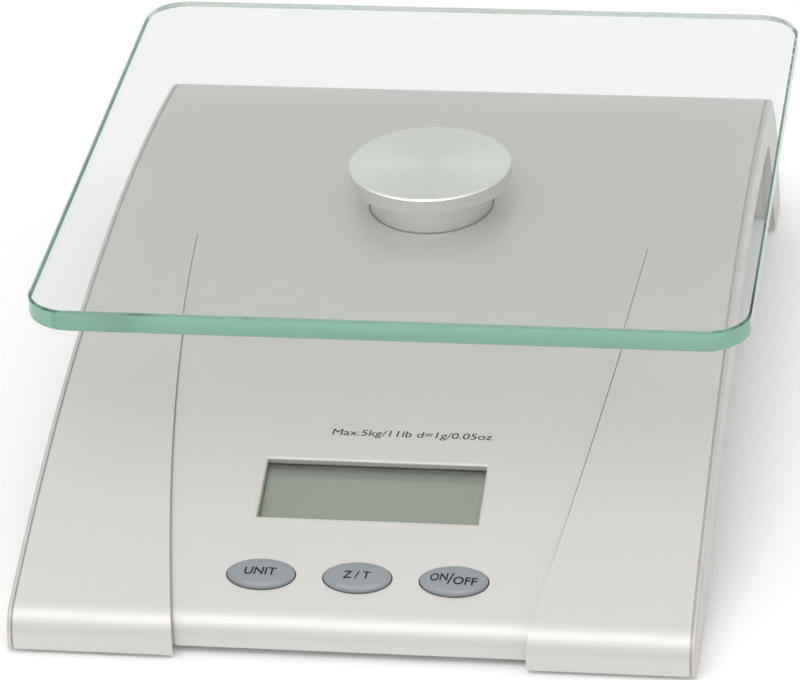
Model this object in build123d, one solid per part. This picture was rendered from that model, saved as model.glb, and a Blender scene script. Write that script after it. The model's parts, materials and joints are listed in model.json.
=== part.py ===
from build123d import *
import os
from math import asin, atan2, cos, degrees, sin, sqrt

# Kitchen scale with a glass platform on one post. Millimetres, +Z up, +Y to the rear.
# Everything is drawn with Y = 0 at the post and then moved, so that the part's own origin
# is the middle of its bounding box, at the underside of the feet.

# ---- platform ----
GLASS_SIDE = 160.0
GLASS_THICK = 5.0
GLASS_CORNER = 10.0
GLASS_CHAMFER = 0.5
DISC_R = 18.8
DISC_THICK = 4.0
DISC_CHAMFER = 0.35
NECK_R = 14.2
NECK_FOOT_R = 8.0
PLATFORM_TOP = 49.7
PLATFORM_TRAVEL = 0.4
GLUE_GAP = 0.1

# ---- body outline, seen from the side ----
BODY_FRONT = -141.0
BODY_REAR = 79.5
REAR_TUCK = 4.0
RIM_Z = 1.0
APEX_Y = 6.0
APEX_Z = 34.1
WING_ARC_R = 430.0
NOSE_R = 7.2
REAR_R = 17.0

# ---- lower centre panel between the two seams ----
CENTRE_ARC_R = 400.0
CENTRE_SET_BACK = 2.6
CENTRE_RIM_LIFT = 0.9
CENTRE_NOSE_R = 6.8
SEAM_HALF_FRONT = 37.6
SEAM_HALF_REAR = 52.3
SEAM_END_Y = -18.0
SEAM_END_STEP = 0.04
SEAM_R = 930.0
SEAM_GROOVE_FRONT = 0.55
SEAM_GROOVE_REAR = 0.25
SEAM_GROOVE_DEPTH = 0.65

# ---- widths across the body ----
BODY_HALF = 73.7
PANEL_THICK = 1.05
GROOVE = 0.35
GROOVE_DEPTH = 0.5
PANEL_EDGE_R = 0.65
PANEL_INNER_EDGE_R = 0.3
COVER_HALF = BODY_HALF - PANEL_THICK - GROOVE
WALL = 2.0
SEAT_GAP = 0.3

# ---- arched side opening ----
BAND = 8.7
ARCH_TOE_Y = -126.0
ARCH_KNEE = (-104.0, 8.3)
ARCH_SHOULDER_Y = -90.0
ARCH_LEG_Y = 60.5
ARCH_APEX_R = 4.0
COVER_ARCH_STEP = 0.5
TRAY_ARCH_STEP = 0.8
LEG_SPLAY = 1.5
LEG_SPLAY_TOP = 22.0

# ---- tray ----
TRAY_BOTTOM = 1.2
FLOOR = 1.6
TUB_HALF = 58.0
TRAY_LIP = 4.6
ARCH_LIP = 1.5

# ---- feet ----
FOOT_R = 5.0
FOOT_RECESS = 0.8
FOOT_PLACES = {"front_left": (-50.0, -126.0), "front_right": (50.0, -126.0),
               "rear_left": (-50.0, 63.0), "rear_right": (50.0, 63.0)}

# ---- housing screws ----
HOUSING_PLACES = [(side * x, y) for x, y in ((52.0, -110.0), (50.0, -25.0), (50.0, 45.0)) for side in (-1, 1)]
BOSS_R = 3.2
PAD_R = 4.2
PAD_TOP = 5.0
SCREW_R = 1.3
SCREW_HEAD_R = 2.5
SCREW_HEAD = 1.8
SCREW_LENGTH = 9.0
PILOT_R = 1.35

# ---- load cell ----
CELL_SIZE = 12.7
CELL_LENGTH = 75.0
CELL_FREE = 12.0
CELL_FLEX_HOLE_R = 4.6
CELL_FLEX_SPREAD = 14.0
CELL_WEB = 4.0
MOUNT_PLATE = 1.5
SPACER_THICK = 3.0
CELL_SCREW_PITCH = 12.0
CELL_SCREW_R = 2.0
CELL_HEAD_R = 3.4
CELL_HEAD = 2.4
GAUGE = (4.0, 6.0, 0.15)
POTTING_THICK = 1.0

# ---- display and keys, measured in the sloping plane of the centre panel ----
LCD_Y = -100.9
KEY_Y = -124.9
WINDOW = (48.2, 17.4)
WINDOW_ROLL = ((-0.6, 0.0), (-0.32, 0.08), (-0.18, 0.25), (-0.11, 0.55), (-0.03, 1.0), (0.3, 2.8))
WINDOW_DEPTH = 1.9
LENS_THICK = 0.6
LENS_LAP = 1.2
LCD_THICK = 2.0
LCD_GAP = 0.15
LCD_LAP = 1.1
HOLDER_WALL = 1.5
HOLDER_DROP = 1.0
BOARD_TOP = 5.6
BOARD_THICK = 1.0
BOARD_HALF = 32.5
BOARD_REAR = 13.4
BOARD_FRONT = -29.9
BOARD_SCREW_PLACES = [(-29.6, 10.5), (29.6, 10.5), (-29.6, -15.5), (29.6, -15.5)]
KEY_PITCH = 20.8
KEY_A = 7.35
KEY_B = 4.1
KEY_GAP = 0.25
KEY_DOME = 1.15
KEY_RISE = 0.25
KEY_FLANGE = 0.9
KEY_FLANGE_DROP = 0.45
KEY_FLANGE_LAP = 1.2
KEY_TRAVEL = 0.35
SWITCH = (6.0, 4.5, 1.5)
PLUNGER_R = 1.1

# ---- batteries ----
CELL_AAA_R = 5.1
CELL_AAA_LENGTH = 43.6
CELL_AAA_NUB = 0.9
CELL_AAA_NUB_R = 1.9
BAY_Y = -66.5
BAY_X0 = 5.0
BATTERY_CLEAR = 0.4
BATTERY_APART = 1.8
BATTERY_LIFT = 0.3
BAY_WALL = 1.5
BAY_HEADROOM = 1.4
DOOR_LEDGE = 1.2
DOOR_THICK = 1.5
DOOR_TONGUE = 1.1
DOOR_GAP = 0.25
PLATE = 0.4
SPRING_R = 2.6
SPRING_WIRE = 0.3
SPRING_HEIGHT = 2.6
CONTACT_GAP = 0.1
LEAD_R = 0.4

EXTRA = 40.0    # how far cutting tools reach past what they cut
BAY_HALF = 2 * CELL_AAA_R + BATTERY_APART / 2 + BATTERY_CLEAR
BAY_ROOF_Z = TRAY_BOTTOM + DOOR_THICK + BATTERY_LIFT + 2 * CELL_AAA_R + BAY_HEADROOM
DOOR_HALF = BAY_HALF - DOOR_LEDGE
BAY_X = (BAY_X0, BAY_X0 + 2 * PLATE + 2 * CONTACT_GAP + SPRING_HEIGHT + CELL_AAA_LENGTH + CELL_AAA_NUB)
GLASS_BOTTOM = PLATFORM_TOP - GLASS_THICK
FLOOR_TOP = TRAY_BOTTOM + FLOOR
CELL_BOTTOM = PAD_TOP + MOUNT_PLATE
CELL_TOP = CELL_BOTTOM + CELL_SIZE
POST_BOTTOM = CELL_TOP + SPACER_THICK
REAR_END = max(BODY_REAR, GLASS_SIDE / 2)
FRONT_END = min(BODY_FRONT, -GLASS_SIDE / 2)
Y_SHIFT = -(REAR_END + FRONT_END) / 2

YZ = Plane.YZ


def save(node, made):
    """Write a node; made is one solid or a list of them."""
    os.makedirs("parts", exist_ok=True)
    pieces = made if isinstance(made, list) else [made]
    moved = [Pos(0, Y_SHIFT, 0) * solid for piece in pieces for solid in piece.solids()]
    export_step(Compound(moved) if len(moved) > 1 else moved[0], f"parts/{node}.step")


def box(x0, x1, y0, y1, z0, z1):
    return Pos((x0 + x1) / 2, (y0 + y1) / 2, (z0 + z1) / 2) * Box(x1 - x0, y1 - y0, z1 - z0)


def rod(x, y, z0, z1, r):
    return Pos(x, y, (z0 + z1) / 2) * Cylinder(r, z1 - z0)


def rod_x(x0, x1, y, z, r):
    return Pos((x0 + x1) / 2, y, z) * Rot(0, 90, 0) * Cylinder(r, x1 - x0)


def both_sides(shape):
    return [shape, mirror(shape, about=YZ)]


def joined(pieces):
    first, *rest = pieces
    return first.fuse(*rest) if rest else first


def across(face, x0, x1):
    """A side-view face, stretched across the body from x0 to x1."""
    return Pos(x0, 0, 0) * extrude(face, amount=x1 - x0, dir=(1, 0, 0))


def side_face(*edges):
    return make_face(Curve() + list(edges))


def side_point(y, z):
    return Vector(0, y, z)


# ---- the body's outline ----

WING_CENTRE_Z = APEX_Z - WING_ARC_R
SEAM_END_Z = WING_CENTRE_Z + sqrt(WING_ARC_R**2 - (SEAM_END_Y - APEX_Y)**2) - SEAM_END_STEP
CENTRE_CENTRE_Z = SEAM_END_Z - sqrt(CENTRE_ARC_R**2 - (SEAM_END_Y - APEX_Y)**2)


def wing_z(y, depth=0.0):
    return WING_CENTRE_Z + sqrt((WING_ARC_R - depth)**2 - (y - APEX_Y)**2)


def panel_z(y):
    return CENTRE_CENTRE_Z + sqrt(CENTRE_ARC_R**2 - (y - APEX_Y)**2)


def corner_round(arc_r, arc_z, corner_y, corner_r):
    """Centre of a round that is tangent inside a big arc, and where the two meet."""
    centre_z = arc_z + sqrt((arc_r - corner_r)**2 - (corner_y - APEX_Y)**2)
    reach = arc_r / (arc_r - corner_r)
    meet = (APEX_Y + (corner_y - APEX_Y) * reach, arc_z + (centre_z - arc_z) * reach)
    return centre_z, meet


def round_edge(centre, r, start_deg, end_deg):
    """An arc in side view; 0 degrees is rearwards and 90 is up."""
    start, middle, end = (radians_point(centre, r, a) for a in (start_deg, (start_deg + end_deg) / 2, end_deg))
    return ThreePointArc(start, middle, end)


def radians_point(centre, r, angle_deg):
    turn = Vector(1, 0, 0).rotate(Axis.Z, angle_deg)
    return side_point(centre[0] + r * turn.X, centre[1] + r * turn.Y)


def body_face(inset, bottom):
    """Side view of the body, inset evenly, closed along the height bottom."""
    nose_y = BODY_FRONT + NOSE_R
    nose_z, nose_meet = corner_round(WING_ARC_R, WING_CENTRE_Z, nose_y, NOSE_R)
    rear_y = BODY_REAR - REAR_R
    rear_z, rear_meet = corner_round(WING_ARC_R, WING_CENTRE_Z, rear_y, REAR_R)
    nose_deg = degrees(atan2(nose_meet[1] - nose_z, nose_meet[0] - nose_y))
    rear_deg = degrees(atan2(rear_meet[1] - rear_z, rear_meet[0] - rear_y))
    nose = round_edge((nose_y, nose_z), NOSE_R - inset, 180, nose_deg)
    top = round_edge((APEX_Y, WING_CENTRE_Z), WING_ARC_R - inset, nose_deg, rear_deg)
    rear = round_edge((rear_y, rear_z), REAR_R - inset, rear_deg, 0)
    tuck = REAR_TUCK * (rear_z - bottom) / (rear_z - RIM_Z)
    heel = side_point(BODY_REAR - inset - tuck, bottom)
    toe = side_point(BODY_FRONT + inset, bottom)
    return side_face(nose, top, rear, Line(rear @ 1, heel), Line(heel, toe), Line(toe, nose @ 0))


def above_centre_face(inset):
    """Side view of what is cleared above and in front of the lower centre panel."""
    front = BODY_FRONT + CENTRE_SET_BACK + inset
    nose_y = BODY_FRONT + CENTRE_SET_BACK + CENTRE_NOSE_R
    nose_z, meet = corner_round(CENTRE_ARC_R, CENTRE_CENTRE_Z, nose_y, CENTRE_NOSE_R)
    nose_deg = degrees(atan2(meet[1] - nose_z, meet[0] - nose_y))
    end_deg = degrees(atan2(SEAM_END_Z - CENTRE_CENTRE_Z, SEAM_END_Y - APEX_Y))
    nose = round_edge((nose_y, nose_z), CENTRE_NOSE_R - inset, 180, nose_deg)
    top = round_edge((APEX_Y, CENTRE_CENTRE_Z), CENTRE_ARC_R - inset, nose_deg, end_deg)
    foot = side_point(front, -EXTRA)
    far_foot = side_point(BODY_FRONT - EXTRA, -EXTRA)
    far_top = side_point(BODY_FRONT - EXTRA, APEX_Z + EXTRA)
    near_top = side_point((top @ 1).Y, APEX_Z + EXTRA)
    return side_face(Line(foot, nose @ 0), nose, top, Line(top @ 1, near_top),
                     Line(near_top, far_top), Line(far_top, far_foot), Line(far_foot, foot))


def seam_prism(grow, grow_rear=None):
    """The plan of the centre panel, between the two curved seams."""
    grow_rear = grow if grow_rear is None else grow_rear
    front = BODY_FRONT - 1.0
    rear = SEAM_END_Y + 2.0
    right = RadiusArc((SEAM_HALF_FRONT + grow, front), (SEAM_HALF_REAR + grow_rear, rear), -SEAM_R)
    left = mirror(right, about=YZ)
    plan = make_face(Curve() + [right, left, Line(right @ 0, left @ 0), Line(right @ 1, left @ 1)])
    return Pos(0, 0, -EXTRA) * extrude(plan, amount=3 * EXTRA, dir=(0, 0, 1))


def body_volume(inset, half, bottom):
    """The solid body, inset evenly, with the centre panel lowered between its seams."""
    wings = across(body_face(inset, bottom), -half, half)
    cleared = across(above_centre_face(inset), -half, half) & seam_prism(inset)
    return wings - cleared


def arch_face(grow):
    """Side view of the opening under the bridge, grown evenly into the material."""
    crown_r = WING_ARC_R - BAND + grow
    shoulder = side_point(ARCH_SHOULDER_Y, wing_z(ARCH_SHOULDER_Y, BAND - grow))
    leg_y = ARCH_LEG_Y + grow
    apex = side_point(leg_y, wing_z(leg_y, BAND - grow))
    middle = side_point(0, wing_z(0, BAND - grow))
    crown = ThreePointArc(apex, middle, shoulder)
    slope = (APEX_Y - ARCH_SHOULDER_Y) / crown_r
    knee = side_point(ARCH_KNEE[0], ARCH_KNEE[1] + grow)
    toe = side_point(ARCH_TOE_Y - grow, RIM_Z)
    lower = Spline(shoulder, knee, toe, tangents=[(0, -1, -slope), (0, -1, -0.12)])
    front_down = side_point(toe.Y, -EXTRA)
    leg_down = side_point(leg_y, -EXTRA)
    face = side_face(crown, lower, Line(toe, front_down), Line(front_down, leg_down), Line(leg_down, apex))
    corner = face.vertices().sort_by_distance(apex)[0]
    return fillet(corner, ARCH_APEX_R + grow)


# ---- the sloping plane of the display and keys ----

PANEL_SLOPE = atan2(panel_z(LCD_Y) - panel_z(KEY_Y), LCD_Y - KEY_Y)
PANEL_NORMAL = (0, -sin(PANEL_SLOPE), cos(PANEL_SLOPE))
PANEL = Plane(origin=(0, LCD_Y, panel_z(LCD_Y)), x_dir=(1, 0, 0), z_dir=PANEL_NORMAL)
KEY_V = (KEY_Y - LCD_Y) / cos(PANEL_SLOPE)
KEY_U = {"unit": -KEY_PITCH, "tare": 0.0, "power": KEY_PITCH}


def on_panel(shape):
    return PANEL.location * shape


def slab(u, v, size_u, size_v, w0, w1):
    """A block in the panel's plane; w is the depth below its surface, and w1 is the deeper."""
    return on_panel(Pos(u, v, -(w0 + w1) / 2) * Box(size_u, size_v, w1 - w0))


def stud(u, v, w0, w1, r):
    return on_panel(Pos(u, v, -(w0 + w1) / 2) * Cylinder(r, w1 - w0))


def oval(u, grow, w0, w1):
    plan = extrude(Ellipse(KEY_A + grow, KEY_B + grow), amount=w1 - w0)
    return on_panel(Pos(u, KEY_V, -w1) * plan)


# ---- platform ----

def glass_platform():
    plan = RectangleRounded(GLASS_SIDE, GLASS_SIDE, GLASS_CORNER)
    plate = Pos(0, 0, GLASS_BOTTOM) * extrude(plan, amount=GLASS_THICK)
    rims = plate.faces().sort_by(Axis.Z)[-1].edges() + plate.faces().sort_by(Axis.Z)[0].edges()
    return chamfer(rims, GLASS_CHAMFER)


def platform_post():
    disc_bottom = GLASS_BOTTOM - DISC_THICK
    step_z = APEX_Z - WALL - 1.6
    disc = rod(0, 0, disc_bottom, GLASS_BOTTOM - GLUE_GAP, DISC_R)
    disc = chamfer(disc.edges().filter_by(GeomType.CIRCLE), DISC_CHAMFER)
    post = disc + rod(0, 0, step_z, disc_bottom, NECK_R) + rod(0, 0, POST_BOTTOM, step_z, NECK_FOOT_R)
    for y in (-CELL_SCREW_PITCH / 2, CELL_SCREW_PITCH / 2):
        post -= rod(0, y, POST_BOTTOM, POST_BOTTOM + 9.0, CELL_SCREW_R + 0.05)
    return post


def post_spacer():
    spacer = box(-CELL_SIZE / 2, CELL_SIZE / 2, -CELL_FREE, CELL_FREE, CELL_TOP, POST_BOTTOM)
    for y in (-CELL_SCREW_PITCH / 2, CELL_SCREW_PITCH / 2):
        spacer -= rod(0, y, CELL_TOP, POST_BOTTOM, CELL_SCREW_R + 0.15)
    return spacer


def cell_screw(y, head_z, top_z):
    screw = rod(0, y, head_z, head_z + CELL_HEAD, CELL_HEAD_R) + rod(0, y, head_z + CELL_HEAD, top_z, CELL_SCREW_R)
    socket = Pos(0, y, head_z) * extrude(RegularPolygon(1.5, 6), amount=1.4)
    return screw - socket


def post_screws():
    return [cell_screw(y, CELL_BOTTOM + 0.3, POST_BOTTOM + 8.0)
            for y in (-CELL_SCREW_PITCH / 2, CELL_SCREW_PITCH / 2)]


# ---- load cell ----

CELL_REAR = CELL_LENGTH - CELL_FREE
CELL_MIDDLE = CELL_REAR - CELL_LENGTH / 2
CELL_MIDDLE_Z = CELL_BOTTOM + CELL_SIZE / 2
FIXED_SCREW_Y = [CELL_REAR - CELL_FREE - CELL_SCREW_PITCH / 2, CELL_REAR - CELL_FREE + CELL_SCREW_PITCH / 2]
FIXED_HEAD_Z = TRAY_BOTTOM + 0.1


def load_cell():
    half = CELL_SIZE / 2
    bar = box(-half, half, -CELL_FREE, CELL_REAR, CELL_BOTTOM, CELL_TOP)
    bar = chamfer(bar.edges().filter_by(Axis.Y), 0.4)
    for side in (-1, 1):
        bar -= rod_x(-EXTRA, EXTRA, CELL_MIDDLE + side * CELL_FLEX_SPREAD / 2, CELL_MIDDLE_Z, CELL_FLEX_HOLE_R)
    bar -= box(-EXTRA, EXTRA, CELL_MIDDLE - CELL_FLEX_SPREAD / 2, CELL_MIDDLE + CELL_FLEX_SPREAD / 2,
               CELL_MIDDLE_Z - CELL_WEB / 2, CELL_MIDDLE_Z + CELL_WEB / 2)
    for y in (-CELL_SCREW_PITCH / 2, CELL_SCREW_PITCH / 2):
        bar -= rod(0, y, CELL_BOTTOM, CELL_TOP, CELL_SCREW_R + 0.15)
        bar -= rod(0, y, CELL_BOTTOM, CELL_BOTTOM + CELL_HEAD + 0.3, CELL_HEAD_R + 0.3)
    for y in FIXED_SCREW_Y:
        bar -= rod(0, y, CELL_BOTTOM, CELL_BOTTOM + 8.5, CELL_SCREW_R + 0.05)
    return bar


def gauge_boxes():
    length_x, length_y, thick = GAUGE
    for z0 in (CELL_TOP, CELL_BOTTOM - thick):
        for side in (-1, 1):
            y = CELL_MIDDLE + side * CELL_FLEX_SPREAD / 2
            yield box(-length_x / 2, length_x / 2, y - length_y / 2, y + length_y / 2, z0, z0 + thick)


def gauge_potting():
    half_y = CELL_FLEX_SPREAD / 2 + GAUGE[1] / 2 + 1.0
    blobs = []
    for z0 in (CELL_TOP, CELL_BOTTOM - POTTING_THICK):
        blob = box(-CELL_SIZE / 2 + 0.8, CELL_SIZE / 2 - 0.8, CELL_MIDDLE - half_y, CELL_MIDDLE + half_y,
                   z0, z0 + POTTING_THICK)
        for gauge in gauge_boxes():
            blob -= gauge
        blobs.append(blob)
    return blobs


def cell_mount_plate():
    plate = box(-CELL_SIZE / 2, CELL_SIZE / 2, CELL_REAR - 2 * CELL_FREE, CELL_REAR, PAD_TOP, CELL_BOTTOM)
    for y in FIXED_SCREW_Y:
        plate -= rod(0, y, PAD_TOP, CELL_BOTTOM, CELL_SCREW_R + 0.15)
    return plate


def cell_screws():
    return [cell_screw(y, FIXED_HEAD_Z, CELL_BOTTOM + 8.0) for y in FIXED_SCREW_Y]


STOP_TOP = CELL_BOTTOM - PLATFORM_TRAVEL - 0.1


def overload_stop():
    screw = rod(0, 0, TRAY_BOTTOM + 0.2, STOP_TOP, 1.5)
    return screw - Pos(0, 0, TRAY_BOTTOM + 0.2) * extrude(RegularPolygon(0.75, 6), amount=1.2)


# ---- covers ----

def panel_edges(solid, side):
    """Edges of a side panel's outer (1) or inner (-1) face, without those at the rim."""
    face = solid.faces().filter_by(Axis.X).sort_by(Axis.X)[-1 if side > 0 else 0]
    return [e for e in face.outer_wire().edges() if (e @ 0.5).Z > RIM_Z + 1.5]


def side_panel_right():
    plate = across(body_face(0, RIM_Z), BODY_HALF - PANEL_THICK, BODY_HALF)
    plate = fillet(panel_edges(plate, 1), PANEL_EDGE_R)
    plate = fillet(panel_edges(plate, -1), PANEL_INNER_EDGE_R)
    land = across(body_face(GROOVE_DEPTH, RIM_Z), COVER_HALF, BODY_HALF - PANEL_THICK)
    land -= across(arch_face(GROOVE_DEPTH), COVER_HALF - 1, BODY_HALF)
    splay = splayed_leg()
    panel = plate + land + splay
    panel -= across(arch_face(0), COVER_HALF - 1, BODY_HALF + EXTRA)
    for y, z in PIN_PLACES:
        panel += rod_x(COVER_HALF - WALL, BODY_HALF - PANEL_THICK, y, z, PIN_R)
    return panel


def splayed_leg():
    """The rear foot stands a little further out towards the table."""
    outline = across(body_face(0, RIM_Z), BODY_HALF - PANEL_THICK, BODY_HALF + LEG_SPLAY)
    inner = BODY_HALF - PANEL_THICK
    outer = BODY_HALF + LEG_SPLAY
    wedge = Polyline((inner, RIM_Z - 1), (outer, RIM_Z - 1), (outer, RIM_Z), (BODY_HALF, LEG_SPLAY_TOP),
                     (inner, LEG_SPLAY_TOP), close=True)
    prism = Pos(0, ARCH_LEG_Y, 0) * extrude(make_face(Plane.XZ * wedge), amount=-EXTRA)
    return outline & prism


PIN_R = 1.4
PIN_DEPTH = 4.0
PIN_PLACES = [(y, wing_z(y, PIN_DEPTH)) for y in (-115.0, -60.0, 0.0, 55.0)]


def housing_boss(x, y):
    top = wing_z(y, WALL / 2)
    return rod(x, y, PAD_TOP + 0.1, top, BOSS_R)


def top_cover():
    cover = body_volume(0, COVER_HALF, RIM_Z) - body_volume(WALL, COVER_HALF - WALL, RIM_Z - 5)
    cover -= across(arch_face(COVER_ARCH_STEP), -BODY_HALF, BODY_HALF)
    lift = box(-SEAM_HALF_FRONT - 2, SEAM_HALF_FRONT + 2, BODY_FRONT, BODY_FRONT + CENTRE_SET_BACK + WALL + 1,
               0, RIM_Z + CENTRE_RIM_LIFT)
    cover -= lift & seam_prism(0)
    ring_top = wing_z(0)
    cover += rod(0, 0, ring_top - WALL - 1.2, ring_top - WALL / 2, NECK_R + 2.4)
    cover -= rod(0, 0, 0, EXTRA * 2, NECK_R + 0.4)
    inside = body_volume(WALL / 2, COVER_HALF - WALL, RIM_Z - 5)
    for x, y in HOUSING_PLACES:
        cover += housing_boss(x, y) & inside
        cover -= rod(x, y, 0, PAD_TOP + SCREW_LENGTH - 1.0, PILOT_R)
    for u, v in BOARD_SCREW_PLACES:
        cover += stud(u, v, -1.0, BOARD_TOP, 2.3) & inside
        cover -= stud(u, v, WALL + 0.4, BOARD_TOP + 1, 0.75)
    for y, z in PIN_PLACES:
        cover -= rod_x(-BODY_HALF, -COVER_HALF + WALL, y, z, PIN_R + 0.1)
        cover -= rod_x(COVER_HALF - WALL, BODY_HALF, y, z, PIN_R + 0.1)
    cover -= window_cut()
    cover -= seam_grooves()
    for u in KEY_U.values():
        cover -= oval(u, KEY_GAP, -3.0, 4.0)
    return cover


def window_cut():
    through = slab(0, 0, *WINDOW, -1.0, WALL + 3)
    rebate = slab(0, 0, WINDOW[0] + 2 * LENS_LAP, WINDOW[1] + 2 * LENS_LAP, WINDOW_DEPTH, WALL + 3)
    roll = loft([Pos(0, 0, height) * Rectangle(WINDOW[0] + 2 * grow, WINDOW[1] + 2 * grow)
                 for height, grow in WINDOW_ROLL], ruled=True)
    slope = asin((APEX_Y - LCD_Y) / CENTRE_ARC_R)
    face = Plane(origin=PANEL.origin, x_dir=(1, 0, 0), z_dir=(0, -sin(slope), cos(slope)))
    return through + rebate + face.location * roll


def seam_grooves():
    """Thin grooves at the foot of both seams, narrowing to the rear."""
    ribbon = seam_prism(0) - seam_prism(-SEAM_GROOVE_FRONT, -SEAM_GROOVE_REAR)
    return across(above_centre_face(SEAM_GROOVE_DEPTH), -COVER_HALF, COVER_HALF) & ribbon


# ---- tray ----

def tray_arches(grow, half):
    right = across(arch_face(grow), half, BODY_HALF + EXTRA)
    return both_sides(right)


def base_tray():
    outer = body_volume(WALL + SEAT_GAP, COVER_HALF - WALL - SEAT_GAP, TRAY_BOTTOM)
    inner = body_volume(WALL + SEAT_GAP + FLOOR, COVER_HALF - WALL - SEAT_GAP - FLOOR, FLOOR_TOP)
    for arch in tray_arches(TRAY_ARCH_STEP, TUB_HALF):
        outer -= arch
    for arch in tray_arches(TRAY_ARCH_STEP + FLOOR, TUB_HALF - FLOOR):
        inner -= arch
    kept = box(-COVER_HALF, COVER_HALF, BODY_FRONT, BODY_REAR, 0, TRAY_LIP)
    for arch in tray_arches(TRAY_ARCH_STEP + FLOOR + ARCH_LIP, TUB_HALF - FLOOR):
        kept += arch
    tray = (outer - inner) & kept
    for x, y in HOUSING_PLACES:
        tray += rod(x, y, FLOOR_TOP - 0.5, PAD_TOP, PAD_R)
        tray -= rod(x, y, 0, PAD_TOP, SCREW_R + 0.2)
        tray -= rod(x, y, 0, TRAY_BOTTOM + SCREW_HEAD + 0.3, SCREW_HEAD_R + 0.3)
    tray += box(-9.0, 9.0, CELL_REAR - 2 * CELL_FREE - 2, CELL_REAR + 2, FLOOR_TOP - 0.5, PAD_TOP)
    for y in FIXED_SCREW_Y:
        tray -= rod(0, y, 0, PAD_TOP, CELL_SCREW_R + 0.15)
        tray -= rod(0, y, 0, FIXED_HEAD_Z + CELL_HEAD, CELL_HEAD_R + 0.3)
    tray += rod(0, 0, FLOOR_TOP - 0.5, PAD_TOP, 3.4)
    tray -= rod(0, 0, 0, PAD_TOP, 1.5)
    for x, y in FOOT_PLACES.values():
        tray -= rod(x, y, 0, TRAY_BOTTOM + FOOT_RECESS, FOOT_R + 0.05)
    return cut_battery_bay(tray)


def cut_battery_bay(tray):
    x0, x1 = BAY_X
    y0, y1 = BAY_Y - BAY_HALF, BAY_Y + BAY_HALF
    tray += box(x0 - BAY_WALL, TUB_HALF, y0 - BAY_WALL, y1 + BAY_WALL, TRAY_BOTTOM, BAY_ROOF_Z + BAY_WALL)
    tray -= box(x0, x1, y0, y1, DOOR_Z0 + DOOR_THICK + 1.5, BAY_ROOF_Z)
    tray -= box(x0, x1, BAY_Y - DOOR_HALF, BAY_Y + DOOR_HALF, 0, BAY_ROOF_Z)
    way = DOOR_HALF + DOOR_GAP
    tray -= box(x0, COVER_HALF, BAY_Y - way, BAY_Y + way, 0, DOOR_Z0 + DOOR_THICK + DOOR_GAP)
    tray -= box(x0, COVER_HALF, BAY_Y - way - DOOR_TONGUE, BAY_Y + way + DOOR_TONGUE,
                TONGUE_Z0 - DOOR_GAP / 2, TONGUE_Z0 + TONGUE_THICK + DOOR_GAP / 2)
    for y in BATTERY_Y.values():
        tray -= rod_x(x0 - 2 * BAY_WALL, x0 + 1, y, LEAD_Z, LEAD_R + 0.15)
    return tray


DOOR_Z0 = TRAY_BOTTOM
TONGUE_THICK = 0.6
TONGUE_Z0 = DOOR_Z0 + 0.7


def battery_door():
    x0 = BAY_X[0] + DOOR_GAP
    door = box(x0, TUB_HALF, BAY_Y - DOOR_HALF, BAY_Y + DOOR_HALF, DOOR_Z0, DOOR_Z0 + DOOR_THICK)
    door += box(x0, TUB_HALF - 1.0, BAY_Y - DOOR_HALF - DOOR_TONGUE, BAY_Y + DOOR_HALF + DOOR_TONGUE,
                TONGUE_Z0, TONGUE_Z0 + TONGUE_THICK)
    for rib in range(5):
        x = TUB_HALF - 4.0 - 1.8 * rib
        door -= box(x - 0.45, x + 0.45, BAY_Y - 6.0, BAY_Y + 6.0, DOOR_Z0 - 1, DOOR_Z0 + 0.4)
    return door


# ---- small parts in the housing ----

def foot(place):
    x, y = FOOT_PLACES[place]
    pad = rod(x, y, 0, TRAY_BOTTOM + FOOT_RECESS, FOOT_R)
    return fillet(pad.edges().filter_by(GeomType.CIRCLE).sort_by(Axis.Z)[0], 0.5)


def housing_screws():
    screws = []
    for x, y in HOUSING_PLACES:
        head_z = TRAY_BOTTOM + 0.2
        screw = rod(x, y, head_z, TRAY_BOTTOM + SCREW_HEAD + 0.3, SCREW_HEAD_R)
        screw += rod(x, y, TRAY_BOTTOM + SCREW_HEAD + 0.3, head_z + SCREW_LENGTH, SCREW_R)
        for size in ((3.0, 0.7), (0.7, 3.0)):
            screw -= Pos(x, y, head_z + 0.5) * Box(*size, 1.0)
        screws.append(screw)
    return screws


# ---- display ----

LENS_TOP = WINDOW_DEPTH
LENS_BOTTOM = LENS_TOP + LENS_THICK
LCD_TOP = LENS_BOTTOM + LCD_GAP
LCD_BOTTOM = LCD_TOP + LCD_THICK
LENS = (WINDOW[0] + 2 * LENS_LAP - 0.3, WINDOW[1] + 2 * LENS_LAP - 0.3)
LCD = (WINDOW[0] + 2 * LCD_LAP, WINDOW[1] + 2 * LCD_LAP)
ZEBRA = (LCD[0] - 4.0, 1.6)
ZEBRA_V = LCD[1] / 2 - 1.4


def lcd_panel():
    back = slab(0, 0, *LCD, LCD_TOP + LCD_THICK / 2, LCD_BOTTOM)
    front = slab(0, 0, LCD[0], LCD[1] - 2.0, LCD_TOP, LCD_TOP + LCD_THICK / 2)
    return back + front


def lcd_holder():
    size = (LCD[0] + 2 * HOLDER_WALL, LCD[1] + 2 * HOLDER_WALL)
    frame = slab(0, 0, *size, LCD_TOP + HOLDER_DROP, BOARD_TOP)
    frame -= slab(0, 0, LCD[0] + 0.2, LCD[1] + 0.2, 0, LCD_BOTTOM)
    frame -= slab(0, 0, LCD[0] - 6.0, LCD[1] - 8.0, 0, BOARD_TOP + 1)
    for side in (-1, 1):
        frame -= slab(0, side * ZEBRA_V, ZEBRA[0] + 0.1, ZEBRA[1] + 0.1, 0, BOARD_TOP + 1)
    return frame


def zebra_strips():
    return [slab(0, side * ZEBRA_V, *ZEBRA, LCD_BOTTOM, BOARD_TOP) for side in (-1, 1)]


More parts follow.
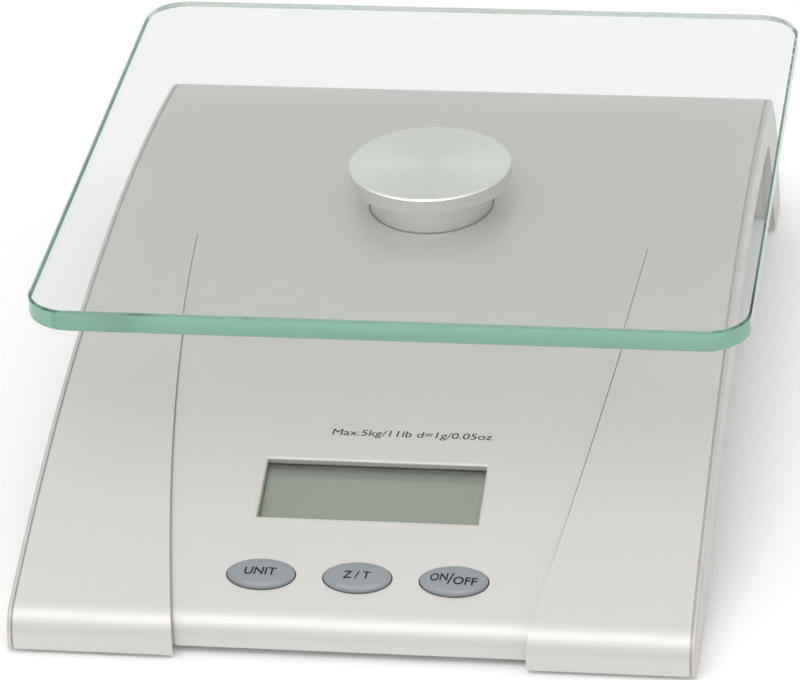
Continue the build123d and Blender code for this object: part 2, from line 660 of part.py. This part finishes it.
def main_pcb():
    middle = (BOARD_REAR + BOARD_FRONT) / 2
    board = slab(0, middle, 2 * BOARD_HALF, BOARD_REAR - BOARD_FRONT, BOARD_TOP, BOARD_TOP + BOARD_THICK)
    for u, v in BOARD_SCREW_PLACES:
        board -= stud(u, v, BOARD_TOP - 1, BOARD_TOP + BOARD_THICK + 1, 1.1)
    return board


def pcb_screws():
    under = BOARD_TOP + BOARD_THICK
    return [stud(u, v, WALL + 1.2, under, 0.75) + stud(u, v, under, under + 1.0, 1.7)
            for u, v in BOARD_SCREW_PLACES]


def chip_cover():
    dome = on_panel(Pos(-6, 2, -(BOARD_TOP + BOARD_THICK)) * Rot(180, 0, 0) * extrude(Circle(5.5), amount=1.4))
    low = dome.faces().filter_by(GeomType.PLANE).sort_by(Axis.Z)[0]
    return fillet(low.edges(), 1.1)


def pcb_components():
    under = BOARD_TOP + BOARD_THICK
    blocks = [slab(u, v, du, dv, under, under + h) for u, v, du, dv, h in (
        (10, 6, 8.0, 3.4, 2.4), (20, 6, 3.2, 1.6, 1.2), (20, 2, 3.2, 1.6, 1.2), (10, -1, 2.0, 1.2, 0.8),
        (14, -1, 2.0, 1.2, 0.8), (18, -3, 2.0, 1.2, 0.8))]
    return blocks + [stud(-20, 4, under, under + 5.0, 2.5)]


# ---- keys and their switches ----

PLUNGER_TOP = WALL + KEY_FLANGE_DROP + KEY_FLANGE + 0.05
SWITCH_TOP = BOARD_TOP - SWITCH[2]


def key(u):
    base = oval(u, 0, -KEY_RISE, WALL + KEY_FLANGE_DROP + 0.1)
    flange = oval(u, KEY_FLANGE_LAP, WALL + KEY_FLANGE_DROP, WALL + KEY_FLANGE_DROP + KEY_FLANGE)
    dome = scale(Sphere(1.0), by=(KEY_A, KEY_B, KEY_DOME))
    dome -= Pos(0, 0, -5) * Box(4 * KEY_A, 4 * KEY_A, 10)
    return base + flange + on_panel(Pos(u, KEY_V, KEY_RISE) * dome)


def switch_housings():
    housings = []
    for u in KEY_U.values():
        housing = slab(u, KEY_V, SWITCH[0], SWITCH[1], SWITCH_TOP, BOARD_TOP)
        housing -= stud(u, KEY_V, 0, BOARD_TOP - 0.3, PLUNGER_R + 0.12)
        housings.append(housing)
    return housings


def switch_plunger(u):
    return stud(u, KEY_V, PLUNGER_TOP, BOARD_TOP - 0.3 - KEY_TRAVEL - 0.1, PLUNGER_R)


# ---- batteries ----

CELL_Z = DOOR_Z0 + DOOR_THICK + BATTERY_LIFT + CELL_AAA_R
BATTERY_Y = {side: BAY_Y + side * (CELL_AAA_R + BATTERY_APART / 2) for side in (-1, 1)}
LEAD_Z = CELL_Z + 3.0


def battery(side):
    """One cell; the nub of the first points to +X and that of the second to -X."""
    total = CELL_AAA_LENGTH + CELL_AAA_NUB
    body = Rot(0, 90, 0) * (Pos(0, 0, CELL_AAA_LENGTH / 2) * Cylinder(CELL_AAA_R, CELL_AAA_LENGTH))
    body = fillet(body.edges().filter_by(GeomType.CIRCLE), 0.4)
    body += rod_x(CELL_AAA_LENGTH, total, 0, 0, CELL_AAA_NUB_R)
    if side > 0:
        return Pos(BAY_X[0] + PLATE + CONTACT_GAP + total, BATTERY_Y[side], CELL_Z) * Rot(0, 0, 180) * body
    return Pos(BAY_X[1] - PLATE - CONTACT_GAP - total, BATTERY_Y[side], CELL_Z) * body


def contact_plate(x0, y0, y1):
    return box(x0, x0 + PLATE, y0, y1, CELL_Z - 3.7, CELL_Z + 4.0)


def spring(x, y, toward):
    path = Helix(pitch=0.9, height=SPRING_HEIGHT - 2 * SPRING_WIRE, radius=SPRING_R)
    wire = sweep(Plane(origin=path @ 0, z_dir=path % 0) * Circle(SPRING_WIRE), path=path)
    return Pos(x + toward * SPRING_WIRE, y, CELL_Z) * Rot(0, 90 * toward, 0) * wire


def battery_spring_contact():
    plate = contact_plate(BAY_X[0], BATTERY_Y[-1] - 4.5, BATTERY_Y[-1] + 4.5)
    return plate + spring(BAY_X[0] + PLATE, BATTERY_Y[-1], 1)


def battery_plate_contact():
    return contact_plate(BAY_X[0], BATTERY_Y[1] - 4.5, BATTERY_Y[1] + 4.5)


def battery_link_contact():
    x0 = BAY_X[1] - PLATE
    return contact_plate(x0, BATTERY_Y[-1] - 4.5, BATTERY_Y[1] + 4.5) + spring(x0, BATTERY_Y[1], -1)


def wire(points, radii, r):
    path = FilletPolyline(*points, radius=radii)
    start = Plane(origin=path @ 0, z_dir=path % 0)
    return sweep(start * Circle(r), path=path)


def board_pad(u, w_extra):
    """A point on the underside of the board, near its rear edge."""
    return on_panel(Pos(u, BOARD_REAR - 3.0, -(BOARD_TOP + BOARD_THICK + w_extra))).position


def load_cell_lead():
    side = -CELL_SIZE / 2 + 0.8
    end = board_pad(-12.0, 0.75)
    points = [(side - 0.7, CELL_MIDDLE, CELL_TOP + 0.75), (-11.0, CELL_MIDDLE, CELL_TOP + 0.75),
              (-14.0, CELL_MIDDLE - 22, 13.0), (-14.0, CELL_MIDDLE - 60, 7.0), (-12.0, -78.0, 7.5),
              (end.X, end.Y, end.Z - 3), (end.X, end.Y, end.Z)]
    return wire(points, [1.6, 9.0, 16.0, 12.0, 1.2], 0.7)


def battery_leads():
    leads = []
    for side, u in ((-1, 0.0), (1, 3.0)):
        start = (BAY_X[0], BATTERY_Y[side], LEAD_Z)
        end = board_pad(u - 4.0, LEAD_R)
        x = -1.5 if side < 0 else -4.0
        points = [start, (x, BATTERY_Y[side], LEAD_Z), (x, end.Y + 4, CELL_Z + 1.5),
                  (end.X, end.Y, end.Z - 2.5), (end.X, end.Y, end.Z)]
        leads.append(wire(points, [1.2, 1.5, 1.0], LEAD_R))
    return leads


NODES = {
    "glass_platform": glass_platform,
    "platform_post": platform_post,
    "post_spacer": post_spacer,
    "post_screws": post_screws,
    "load_cell": load_cell,
    "strain_gauges": lambda: list(gauge_boxes()),
    "gauge_potting": gauge_potting,
    "cell_mount_plate": cell_mount_plate,
    "cell_screws": cell_screws,
    "overload_stop": overload_stop,
    "load_cell_lead": load_cell_lead,
    "top_cover": top_cover,
    "side_panel_right": side_panel_right,
    "side_panel_left": lambda: mirror(side_panel_right(), about=YZ),
    "base_tray": base_tray,
    "battery_door": battery_door,
    "housing_screws": housing_screws,
    "lcd_window": lambda: slab(0, 0, *LENS, LENS_TOP, LENS_BOTTOM),
    "lcd_panel": lcd_panel,
    "lcd_holder": lcd_holder,
    "zebra_strips": zebra_strips,
    "main_pcb": main_pcb,
    "pcb_screws": pcb_screws,
    "chip_cover": chip_cover,
    "pcb_components": pcb_components,
    "switch_housings": switch_housings,
    "batteries": lambda: [battery(-1), battery(1)],
    "battery_spring_contact": battery_spring_contact,
    "battery_plate_contact": battery_plate_contact,
    "battery_link_contact": battery_link_contact,
    "battery_leads": battery_leads,
}
for place in FOOT_PLACES:
    NODES[f"foot_{place}"] = lambda place=place: foot(place)
for name, u in KEY_U.items():
    NODES[f"button_{name}"] = lambda u=u: key(u)
    NODES[f"switch_plunger_{name}"] = lambda u=u: switch_plunger(u)

for node, make in NODES.items():
    save(node, make())
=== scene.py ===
import json
import math

import bmesh
import bpy
from mathutils import Matrix, Vector

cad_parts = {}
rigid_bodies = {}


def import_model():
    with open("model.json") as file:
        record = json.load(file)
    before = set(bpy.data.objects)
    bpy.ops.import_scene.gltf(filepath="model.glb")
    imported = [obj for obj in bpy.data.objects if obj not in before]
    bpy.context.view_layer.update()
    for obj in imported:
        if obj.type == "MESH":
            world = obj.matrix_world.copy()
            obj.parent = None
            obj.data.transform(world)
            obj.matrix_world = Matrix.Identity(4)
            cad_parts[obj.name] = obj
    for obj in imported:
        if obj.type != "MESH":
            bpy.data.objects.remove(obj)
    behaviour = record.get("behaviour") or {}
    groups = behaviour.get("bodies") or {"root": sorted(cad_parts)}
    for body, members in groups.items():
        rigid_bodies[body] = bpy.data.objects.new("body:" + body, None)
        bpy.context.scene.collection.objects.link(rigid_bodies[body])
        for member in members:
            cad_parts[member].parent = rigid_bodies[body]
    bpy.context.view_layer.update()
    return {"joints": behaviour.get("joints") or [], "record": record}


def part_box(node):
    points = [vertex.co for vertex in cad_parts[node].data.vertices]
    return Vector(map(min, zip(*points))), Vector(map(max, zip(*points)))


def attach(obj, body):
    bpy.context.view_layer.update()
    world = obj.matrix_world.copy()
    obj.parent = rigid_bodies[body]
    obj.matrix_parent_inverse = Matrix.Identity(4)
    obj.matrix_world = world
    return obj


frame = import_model()
MM = 0.001
X_AXIS = Vector((1, 0, 0))

# ---------------------------------------------------------------- node helpers

MIX_A, MIX_B, MIX_RESULT = 6, 7, 2    # a Mix node's sockets for colours


class Tree:
    """A short way to write a material's nodes."""

    def __init__(self, name):
        self.material = bpy.data.materials.new(name)
        self.material.use_nodes = True
        self.nodes = self.material.node_tree.nodes
        self.links = self.material.node_tree.links
        self.nodes.clear()
        self.output = self.add("OutputMaterial")
        self.coords = None

    def add(self, kind, **values):
        node = self.nodes.new("ShaderNode" + kind)
        for key, value in values.items():
            setattr(node, key, value)
        return node

    def put(self, value, socket):
        """Links a socket, or sets its value; a colour may come without its alpha."""
        if isinstance(value, bpy.types.NodeSocket):
            self.links.new(value, socket)
        elif isinstance(value, (tuple, list)) and len(value) == 3 and len(socket.default_value) == 4:
            socket.default_value = (*value, 1.0)
        else:
            socket.default_value = value

    def object_coords(self):
        if self.coords is None:
            self.coords = self.add("TexCoord").outputs["Object"]
        return self.coords

    def from_point(self, point):
        """Separate x, y and z, measured from a point."""
        node = self.add("VectorMath", operation="SUBTRACT")
        self.put(self.object_coords(), node.inputs[0])
        self.put(tuple(point), node.inputs[1])
        return self.split(node.outputs[0])

    def upright(self):
        """1 on level faces, 0 on standing ones."""
        return self.math("ABSOLUTE", self.split(self.add("NewGeometry").outputs["Normal"])[2])

    def math(self, operation, *values):
        node = self.add("Math", operation=operation)
        for value, socket in zip(values, node.inputs):
            self.put(value, socket)
        return node.outputs[0]

    def split(self, vector):
        node = self.add("SeparateXYZ")
        self.put(vector, node.inputs[0])
        return node.outputs

    def combine(self, x, y, z):
        node = self.add("CombineXYZ")
        for value, socket in zip((x, y, z), node.inputs):
            self.put(value, socket)
        return node.outputs[0]

    def noise(self, scale, detail=2.0, vector=None):
        node = self.add("TexNoise")
        self.put(vector or self.object_coords(), node.inputs["Vector"])
        node.inputs["Scale"].default_value = scale
        node.inputs["Detail"].default_value = detail
        return node.outputs["Fac"]

    def specks(self, scale):
        """A random value for each small cell."""
        node = self.add("TexVoronoi")
        self.put(self.object_coords(), node.inputs["Vector"])
        node.inputs["Scale"].default_value = scale
        return self.split(node.outputs["Color"])[0]

    def stretch(self, value, low, high, to_low=0.0, to_high=1.0):
        node = self.add("MapRange")
        for socket, number in zip(node.inputs, (value, low, high, to_low, to_high)):
            self.put(number, socket)
        return node.outputs["Result"]

    def cloudy(self, noise):
        """Brings a noise's usual range to 0 to 1."""
        return self.stretch(noise, 0.3, 0.7)

    def mix(self, factor, a, b):
        node = self.add("Mix", data_type="RGBA")
        self.put(factor, node.inputs["Factor"])
        self.put(a, node.inputs[MIX_A])
        self.put(b, node.inputs[MIX_B])
        return node.outputs[MIX_RESULT]

    def bump(self, height, distance, strength):
        node = self.add("Bump")
        node.inputs["Strength"].default_value = strength
        node.inputs["Distance"].default_value = distance
        self.put(height, node.inputs["Height"])
        return node.outputs["Normal"]

    def surface(self, **sockets):
        shader = self.add("BsdfPrincipled")
        for name, value in sockets.items():
            self.put(value, shader.inputs[name.replace("_", " ")])
        self.links.new(shader.outputs[0], self.output.inputs["Surface"])
        return shader


def srgb(r, g, b):
    def linear(c):
        c /= 255.0
        return c / 12.92 if c <= 0.04045 else ((c + 0.055) / 1.055) ** 2.4
    return (linear(r), linear(g), linear(b))


def darker(colour, share):
    return tuple(c * share for c in colour)


# ---------------------------------------------------------------- materials


def silver_paint(name, base):
    """Fine metallic paint: bright flakes under a thin satin coat."""
    roughness, spread = 0.46, 0.03
    t = Tree(name)
    sparkle = t.specks(5200.0)
    colour = t.mix(t.cloudy(t.noise(9.0)), darker(base, 0.985), base)
    colour = t.mix(t.math("MULTIPLY", sparkle, 0.12), colour, tuple(min(1, c * 1.2) for c in base))
    rough = t.stretch(sparkle, 0.0, 1.0, roughness - spread, roughness + spread)
    t.surface(Base_Color=colour, Metallic=0.5, Roughness=rough, Specular_IOR_Level=0.4,
              Normal=t.bump(sparkle, 0.004 * MM, 0.3))
    return t.material


def plastic(name, base, roughness=0.45, grain=0.03 * MM, coat=0.0):
    t = Tree(name)
    colour = t.mix(t.cloudy(t.noise(40.0, 3.0)), darker(base, 0.93), base)
    rough = t.stretch(t.noise(300.0), 0.3, 0.7, roughness - 0.05, roughness + 0.05)
    t.surface(Base_Color=colour, Roughness=rough, Coat_Weight=coat,
              Normal=t.bump(t.noise(1800.0), grain, 0.6))
    return t.material


def metal(name, base, roughness=0.3):
    """Bare metal with fine lines along it."""
    t = Tree(name)
    mapping = t.add("Mapping")
    t.put(t.object_coords(), mapping.inputs["Vector"])
    mapping.inputs["Scale"].default_value = (1.0, 60.0, 1.0)
    lines = t.noise(120.0, 3.0, mapping.outputs[0])
    colour = t.mix(t.cloudy(lines), darker(base, 0.85), base)
    rough = t.stretch(lines, 0.3, 0.7, roughness - 0.08, roughness + 0.1)
    t.surface(Base_Color=colour, Metallic=1.0, Roughness=rough, Normal=t.bump(lines, 0.01 * MM, 0.4))
    return t.material


def turned_aluminium(name, centre):
    """Faced on a lathe: fine rings about the post's axis, and painted shade on its standing faces, such
    as the rim.
    """
    ring_scale = 9000.0
    t = Tree(name)
    x, y, z = t.from_point(centre)
    radius = t.math("SQRT", t.math("ADD", t.math("MULTIPLY", x, x), t.math("MULTIPLY", y, y)))
    turn = t.math("MULTIPLY", t.math("ARCTAN2", y, x), 0.6)
    place = t.combine(t.math("MULTIPLY", radius, ring_scale), t.math("MULTIPLY", z, ring_scale), turn)
    rings = t.noise(1.0, 2.0, place)
    tangent = t.add("Tangent", direction_type="RADIAL", axis="Z")
    colour = t.mix(t.cloudy(rings), srgb(242, 242, 237), srgb(252, 252, 248))
    # Painted shade: standing faces, such as the disc's rim, are coloured darker than level ones.
    colour = t.mix(t.stretch(t.upright(), 0.2, 0.5), srgb(218, 216, 211), colour)
    t.surface(Base_Color=colour, Metallic=1.0, Roughness=0.42, Anisotropic=0.5,
              Tangent=tangent.outputs[0], Normal=t.bump(rings, 0.004 * MM, 0.5))
    return t.material


def clear_glass(name, tint=(1, 1, 1), shade=(0.9, 0.9, 0.9), ground=0.0, density=0.0):
    """Glass that lets lamps through. Float glass has ground edges and is green along its length."""
    t = Tree(name)
    rough = t.stretch(t.noise(6.0, 1.0), 0.3, 0.7, 0.0, 0.004)
    clarity = 1.0
    if ground:
        level = t.upright()
        rough = t.math("MULTIPLY_ADD", t.stretch(level, 0.9, 0.8), ground, rough)
        clarity = t.stretch(level, 0.3, 0.5, 0.62, 1.0)
        tint = t.mix(t.stretch(level, 0.3, 0.5), (0.4, 0.68, 0.55), tint)
    shader = t.surface(Base_Color=tint, Roughness=rough, IOR=1.52, Transmission_Weight=clarity)
    clear = t.add("BsdfTransparent")
    t.put(shade, clear.inputs["Color"])
    mixer = t.add("MixShader")
    t.put(t.add("LightPath").outputs["Is Shadow Ray"], mixer.inputs["Fac"])
    t.put(shader.outputs[0], mixer.inputs[1])
    t.put(clear.outputs[0], mixer.inputs[2])
    t.put(mixer.outputs[0], t.output.inputs["Surface"])
    if density:
        absorb = t.add("VolumeAbsorption")
        t.put((0.26, 0.62, 0.47), absorb.inputs["Color"])
        absorb.inputs["Density"].default_value = density
        t.put(absorb.outputs[0], t.output.inputs["Volume"])
    return t.material


# The sloping plane of the display and keys, read from the frame.
PRESS = Vector(next(j["axis"] for j in frame["joints"] if j["name"] == "tare_press"))
PANEL_N = -PRESS.normalized()
PANEL_V = PANEL_N.cross(X_AXIS)
LENS_LOW, LENS_HIGH = (Vector(corner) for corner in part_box("lcd_window"))
WINDOW_MIDDLE = (LENS_LOW + LENS_HIGH) / 2

# Half the window's opening, across and up the slope, and a point on the post's axis.
WINDOW_HALF = (24.1 * MM, 8.7 * MM)
POST_AXIS = (0.0, 30.5 * MM, 0.0)


def display(name):
    """A resting display: grey-green, with painted shade under the window's rear and left walls and a
    painted dark shade at its rim, in the gap beneath the cover's edge.
    """
    t = Tree(name)
    x, y, z = t.from_point(WINDOW_MIDDLE)
    v = t.math("ADD", t.math("MULTIPLY", y, PANEL_V.y), t.math("MULTIPLY", z, PANEL_V.z))
    from_rear = t.math("SUBTRACT", WINDOW_HALF[1], v)
    from_left = t.math("ADD", x, WINDOW_HALF[0])
    from_right = t.math("SUBTRACT", WINDOW_HALF[0], x)
    # Painted shade: the display grows darker towards the window's rear and left walls, as if they shaded
    # it.
    rear = t.math("MULTIPLY_ADD", t.stretch(from_rear, 0.9 * MM, 4.4 * MM), 0.8, 0.2)
    left = t.math("MULTIPLY_ADD", t.stretch(from_left, 0.0, 1.6 * MM), 0.3, 0.7)
    green = t.mix(t.cloudy(t.noise(25.0, 1.0)), srgb(128, 139, 122), srgb(131, 141, 125))
    shaded = t.mix(t.math("MULTIPLY", rear, left), (0.03, 0.032, 0.03), green)
    # Painted shade: near-black beyond the window's opening, standing in for the shade in the gap under
    # the cover's edge.
    edge = t.math("MINIMUM", t.math("MINIMUM", from_left, from_right), from_rear)
    colour = t.mix(t.stretch(edge, -0.9 * MM, -0.3 * MM), (0.012, 0.01, 0.01), shaded)
    t.surface(Base_Color=colour, Roughness=0.42)
    return t.material


MATERIALS = {
    "clear_glass": clear_glass("float_glass", tint=(0.945, 0.945, 0.945), shade=(0.9, 0.905, 0.9),
                               ground=0.14, density=9.0),
    "silver_paint": silver_paint("silver_paint", srgb(214, 212, 207)),
    "silver_trim": silver_paint("silver_trim", srgb(206, 203, 199)),
    "grey_abs": plastic("grey_abs", srgb(150, 149, 147), 0.5),
    "key_plastic": plastic("key_plastic", srgb(142, 148, 152), 0.34, 0.004 * MM, 0.25),
    "lcd_glass": display("lcd_glass"),
    "clear_acrylic": clear_glass("clear_acrylic"),
    "spun_aluminium": turned_aluminium("turned_aluminium", POST_AXIS),
    "bar_aluminium": metal("bar_aluminium", srgb(200, 201, 202), 0.35),
    "zinc_steel": metal("zinc_steel", srgb(185, 185, 182)),
    "nickel_strip": metal("nickel_strip", srgb(200, 196, 184), 0.2),
    "foot_rubber": plastic("foot_rubber", srgb(38, 38, 38), 0.8),
    "black_nylon": plastic("black_nylon", srgb(28, 28, 28)),
    "black_epoxy": plastic("black_epoxy", srgb(18, 18, 18), 0.55),
    "white_nylon": plastic("white_nylon", srgb(222, 222, 216), 0.4),
    "white_silicone": plastic("white_silicone", srgb(228, 228, 222), 0.6),
    "lead_sleeve": plastic("lead_sleeve", srgb(150, 150, 150), 0.5),
    "wire_sleeve": plastic("wire_sleeve", srgb(150, 28, 22), 0.4),
    "board_green": plastic("board_green", srgb(38, 96, 58), 0.3, coat=0.5),
    "battery_wrap": plastic("battery_wrap", srgb(40, 40, 44), 0.3, coat=0.3),
    "gauge_film": plastic("gauge_film", srgb(196, 142, 60), 0.3, coat=0.5),
    "zebra_rubber": plastic("zebra_rubber", srgb(52, 52, 54), 0.7),
}
for part in frame["record"]["subparts"]:
    slots = bpy.data.objects[part["node"]].data.materials
    slots.clear()
    slots.append(MATERIALS[part["material_slot"]])

# ---------------------------------------------------------------- printing

INK_LIFT = 0.03 * MM
CAP_SHARE = 0.7        # how tall a capital is, as a share of the font's size
CUT_STEP = 0.5 * MM
DROP = 10 * MM         # how far above its surface the printing starts
BOLD = 0.05 * MM


def ink():
    t = Tree("dark_ink")
    colour = t.mix(t.noise(2500.0, 1.0), (0.02, 0.02, 0.023), (0.035, 0.035, 0.038))
    t.surface(Base_Color=colour, Roughness=0.6, Specular_IOR_Level=0.15)
    return t.material


INK = ink()


def flat_words(name, words, height, slant, bold):
    """The words as a flat mesh, from Blender's own font."""
    curve = bpy.data.curves.new(name, "FONT")
    curve.body = words
    curve.size = height / CAP_SHARE
    curve.align_x = "CENTER"
    curve.align_y = "CENTER"
    curve.shear = slant
    curve.offset = bold
    curve.resolution_u = 6
    draft = bpy.data.objects.new(name + "_draft", curve)
    bpy.context.scene.collection.objects.link(draft)
    bpy.context.view_layer.update()
    mesh = bpy.data.meshes.new_from_object(draft.evaluated_get(bpy.context.evaluated_depsgraph_get()))
    bpy.data.objects.remove(draft)
    bpy.data.curves.remove(curve)
    mesh.name = name
    return mesh


def lettering(name, words, height, width, slant, bold=0.0):
    """The words' mesh at the width given, centred, and cut so that it can follow a curve."""
    mesh = flat_words(name, words, height, slant, bold)
    xs = [v.co.x for v in mesh.vertices]
    ys = [v.co.y for v in mesh.vertices]
    middle_x, middle_y = (min(xs) + max(xs)) / 2, (min(ys) + max(ys)) / 2
    stretch = width / (max(xs) - min(xs))
    for v in mesh.vertices:
        v.co = Vector(((v.co.x - middle_x) * stretch, v.co.y - middle_y, 0))
    bm = bmesh.new()
    bm.from_mesh(mesh)
    bmesh.ops.remove_doubles(bm, verts=bm.verts, dist=1e-6)
    reach = max(abs(v.co.x) for v in bm.verts)
    tall = max(abs(v.co.y) for v in bm.verts)
    for normal, limit in ((X_AXIS, reach), (Vector((0, 1, 0)), tall)):
        at = -limit + CUT_STEP
        while at < limit:
            bmesh.ops.bisect_plane(bm, geom=bm.verts[:] + bm.edges[:] + bm.faces[:],
                                   plane_co=normal * at, plane_no=normal)
            at += CUT_STEP
    bm.to_mesh(mesh)
    bm.free()
    return mesh


def printed(mesh, on, middle, up, normal, body):
    """Lays the flat mesh on a CAD node: each point drops along the normal to the surface."""
    target = bpy.data.objects[on]
    right = up.cross(normal)
    for v in mesh.vertices:
        start = middle + right * v.co.x + up * v.co.y + normal * DROP
        hit, place, _, _ = target.ray_cast(start, -normal)
        v.co = (place if hit else start - normal * DROP) + normal * INK_LIFT
    obj = bpy.data.objects.new(mesh.name, mesh)
    bpy.context.scene.collection.objects.link(obj)
    mesh.materials.append(INK)
    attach(obj, body)


def key_middle(node):
    """The middle of a key's oval, in the keys' own sloping plane."""
    obj = bpy.data.objects[node]
    rows = [(obj.matrix_world @ v.co).dot(PANEL_V) for v in obj.data.vertices]
    low, high = (Vector(corner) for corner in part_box(node))
    middle = (low + high) / 2
    return middle + PANEL_V * ((min(rows) + max(rows)) / 2 - middle.dot(PANEL_V))


def capacity_line():
    """The line of print behind the window."""
    start = Vector((0, LENS_HIGH.y + 6.8 * MM, 0.1))
    _, place, normal, _ = bpy.data.objects["top_cover"].ray_cast(start, Vector((0, 0, -1)))
    mesh = lettering("capacity_line", "Max.5kg/11lb d=1g/0.05oz", 1.9 * MM, 35.4 * MM, 0.12)
    printed(mesh, "top_cover", place + X_AXIS * 6.6 * MM, normal.cross(X_AXIS), normal,
            "housing")


# Each legend: its words, the offsets across and up, its height and its width, all in mm.
LEGENDS = {
    "unit": (("UNIT", 0.0, -0.1, 2.0, 7.0),),
    "tare": (("Z / T", 0.0, -0.2, 2.0, 6.0),),
    "power": (("ON", -3.1, 0.2, 2.0, 3.9), ("/", -0.6, -0.2, 2.9, 1.5), ("OFF", 2.6, -0.7, 2.0, 5.2)),
}
capacity_line()
for key, legends in LEGENDS.items():
    for number, (words, across, above, tall, wide) in enumerate(legends):
        mesh = lettering(f"legend_{key}_{number}", words, tall * MM, wide * MM, 0.1, BOLD)
        spot = key_middle(f"button_{key}") + X_AXIS * across * MM + PANEL_V * above * MM
        printed(mesh, f"button_{key}", spot, PANEL_V, PANEL_N, f"key_{key}")

# ---------------------------------------------------------------- floor, lights, camera

FLOOR_HALF = 6.0
FLOOR_Z = -0.02 * MM
CAMERA_PLACE = (0.1588, -0.9918, 0.5737)
CAMERA_TURN = (-9.316, 28.954, 2.649)    # yaw, down and roll, in degrees
CAMERA_LENS = 225.8
CAMERA_SENSOR = 36.0
SKY_LOW, SKY_HIGH = 0.55, 1.0


def floor():
    mesh = bpy.data.meshes.new("floor")
    corners = [(x * FLOOR_HALF, y * FLOOR_HALF, FLOOR_Z) for x, y in ((-1, -1), (1, -1), (1, 1), (-1, 1))]
    mesh.from_pydata(corners, [], [(0, 1, 2, 3)])
    plane = bpy.data.objects.new("floor", mesh)
    bpy.context.scene.collection.objects.link(plane)
    t = Tree("floor_white")
    t.surface(Base_Color=(0.95, 0.95, 0.95), Roughness=0.6, Specular_IOR_Level=0.2,
              Emission_Color=(1.0, 1.0, 1.0), Emission_Strength=0.07)
    mesh.materials.append(t.material)


def area_light(name, place, size, watts):
    """A rectangular lamp that looks at the origin."""
    data = bpy.data.lights.new(name, "AREA")
    data.shape = "RECTANGLE"
    data.size, data.size_y = size
    data.energy = watts
    lamp = bpy.data.objects.new(name, data)
    aim = (-Vector(place)).to_track_quat("-Z", "Y").to_matrix().to_4x4()
    lamp.matrix_world = Matrix.Translation(place) @ aim
    bpy.context.scene.collection.objects.link(lamp)


def sky():
    """White all round, and brighter overhead."""
    world = bpy.data.worlds.new("studio")
    world.use_nodes = True
    nodes, links = world.node_tree.nodes, world.node_tree.links
    background = nodes["Background"]
    background.inputs["Color"].default_value = (1, 1, 1, 1)
    height = nodes.new("ShaderNodeSeparateXYZ")
    climb = nodes.new("ShaderNodeMapRange")
    for socket, number in zip(climb.inputs[1:5], (0.0, 1.0, SKY_LOW, SKY_HIGH)):
        socket.default_value = number
    links.new(nodes.new("ShaderNodeTexCoord").outputs["Generated"], height.inputs[0])
    links.new(height.outputs["Z"], climb.inputs[0])
    links.new(climb.outputs["Result"], background.inputs["Strength"])
    bpy.context.scene.world = world


def camera():
    yaw, down, roll = (math.radians(angle) for angle in CAMERA_TURN)
    forward = Vector((math.sin(yaw) * math.cos(down), math.cos(yaw) * math.cos(down), -math.sin(down)))
    right = Vector((math.cos(yaw), -math.sin(yaw), 0.0))
    below = forward.cross(right)
    across = right * math.cos(roll) + below * math.sin(roll)
    below = below * math.cos(roll) - right * math.sin(roll)
    turn = Matrix((across, -below, -forward)).transposed().to_4x4()
    data = bpy.data.cameras.new("camera")
    data.lens = CAMERA_LENS
    data.sensor_width = CAMERA_SENSOR
    data.clip_start = 0.05
    data.clip_end = 50.0
    cam = bpy.data.objects.new("camera", data)
    cam.matrix_world = Matrix.Translation(CAMERA_PLACE) @ turn
    bpy.context.scene.collection.objects.link(cam)
    bpy.context.scene.camera = cam


floor()
camera()
area_light("key", (-0.2, -1.1, 1.75), (1.6, 1.1), 11.7)
sky()
scene = bpy.context.scene
scene.view_settings.view_transform = "Standard"
# Light crosses the glass plate by many reflections before it leaves by an edge.
scene.cycles.max_bounces = 40
scene.cycles.glossy_bounces = 32
scene.cycles.transmission_bounces = 32
